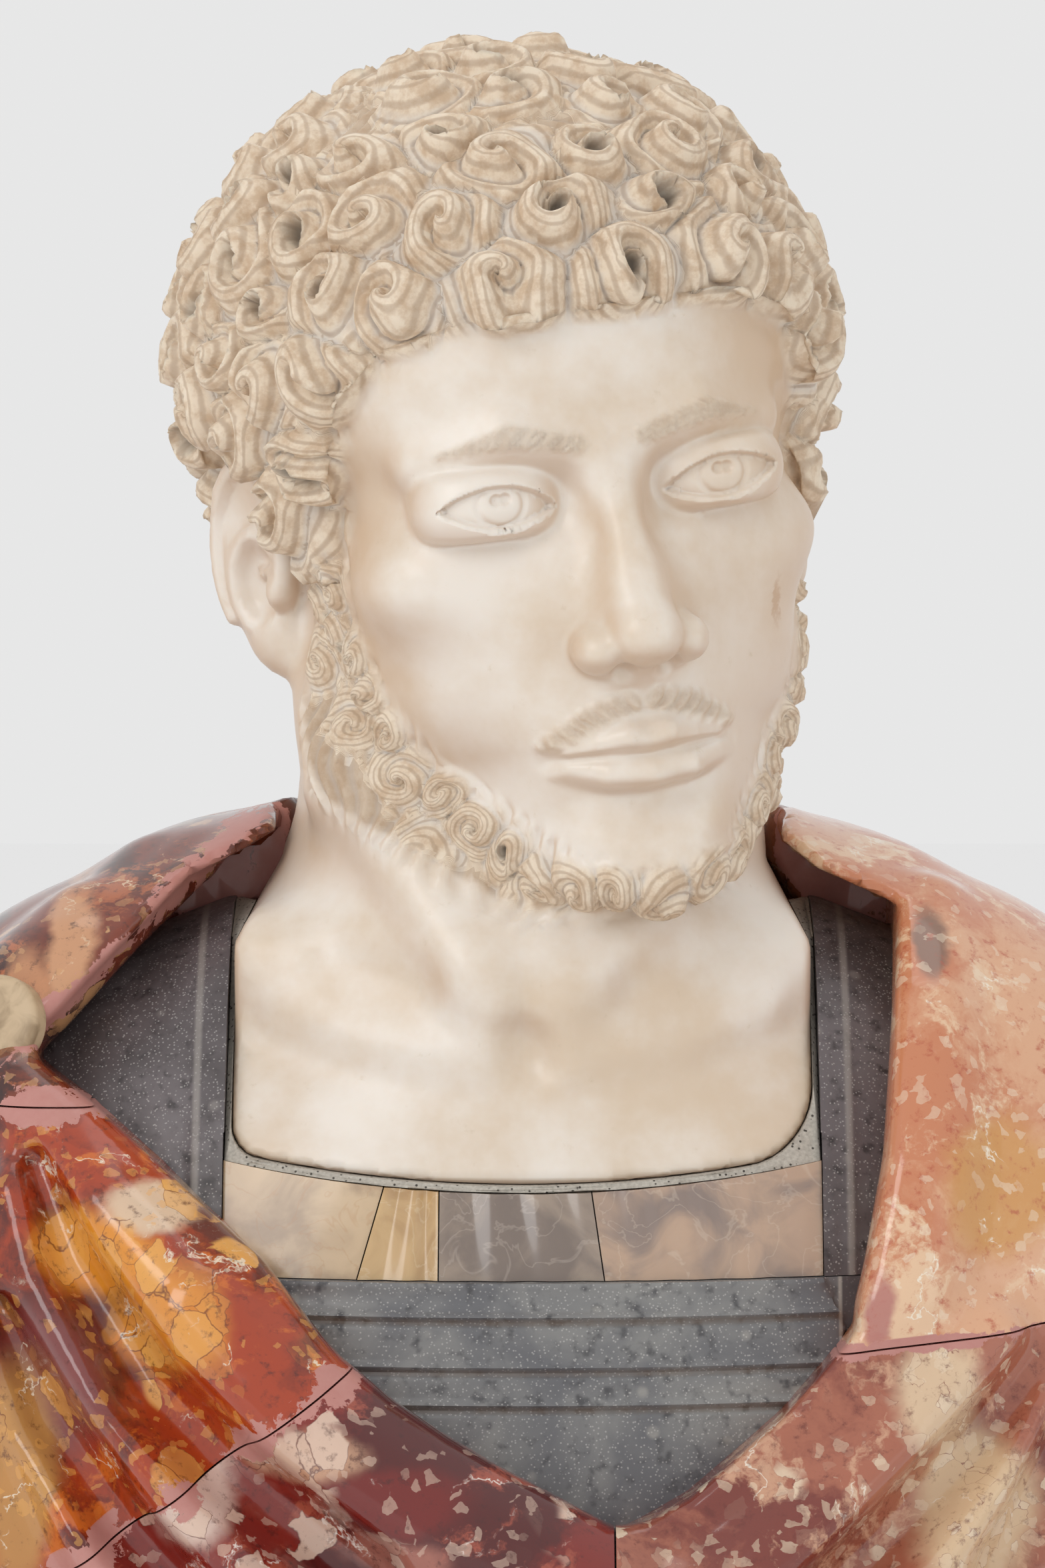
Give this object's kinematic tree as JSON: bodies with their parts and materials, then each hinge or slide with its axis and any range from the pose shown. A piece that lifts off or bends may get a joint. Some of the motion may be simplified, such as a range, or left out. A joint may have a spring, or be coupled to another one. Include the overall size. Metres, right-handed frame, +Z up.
{
  "type": "roman emperor bust",
  "caption": "Bust of a bearded, curly-haired Roman emperor, head turned aside, with cuirass and draped cloak in coloured stone, cut flat below.",
  "frame": {"origin": "middle of the flat underside", "axes": "+Z up from the underside, -Y out of the chest, +X towards the figure's left shoulder"},
  "size_m": [0.5127, 0.3209, 0.627],
  "materials": {
    "head_marble": "polished",
    "mortar": "matte",
    "alabaster_cream": "polished",
    "alabaster_honey": "polished",
    "alabaster_grey": "polished",
    "alabaster_mixed": "polished",
    "plate_marble": "polished",
    "strap_marble": "polished",
    "cloak_collar_marble": "polished",
    "cloak_back_marble": "polished",
    "cloak_right_shoulder_marble": "polished",
    "cloak_right_chest_marble": "polished",
    "cloak_lower_front_marble": "polished",
    "cloak_left_shoulder_marble": "polished",
    "cloak_left_chest_marble": "polished",
    "fibula_marble": "polished"
  },
  "bodies": {
    "root": {"head": "head_marble", "mortar": "mortar", "tunic_band_1": "alabaster_cream", "tunic_band_2": "alabaster_honey", "tunic_band_3": "alabaster_grey", "tunic_band_4": "alabaster_mixed", "cuirass_breastplate": "plate_marble", "cuirass_strap_right": "strap_marble", "cuirass_strap_left": "strap_marble", "cloak_collar": "cloak_collar_marble", "cloak_back": "cloak_back_marble", "cloak_right_shoulder": "cloak_right_shoulder_marble", "cloak_right_chest": "cloak_right_chest_marble", "cloak_lower_front": "cloak_lower_front_marble", "cloak_left_shoulder": "cloak_left_shoulder_marble", "cloak_left_chest": "cloak_left_chest_marble", "fibula": "fibula_marble"}
  },
  "joints": []
}
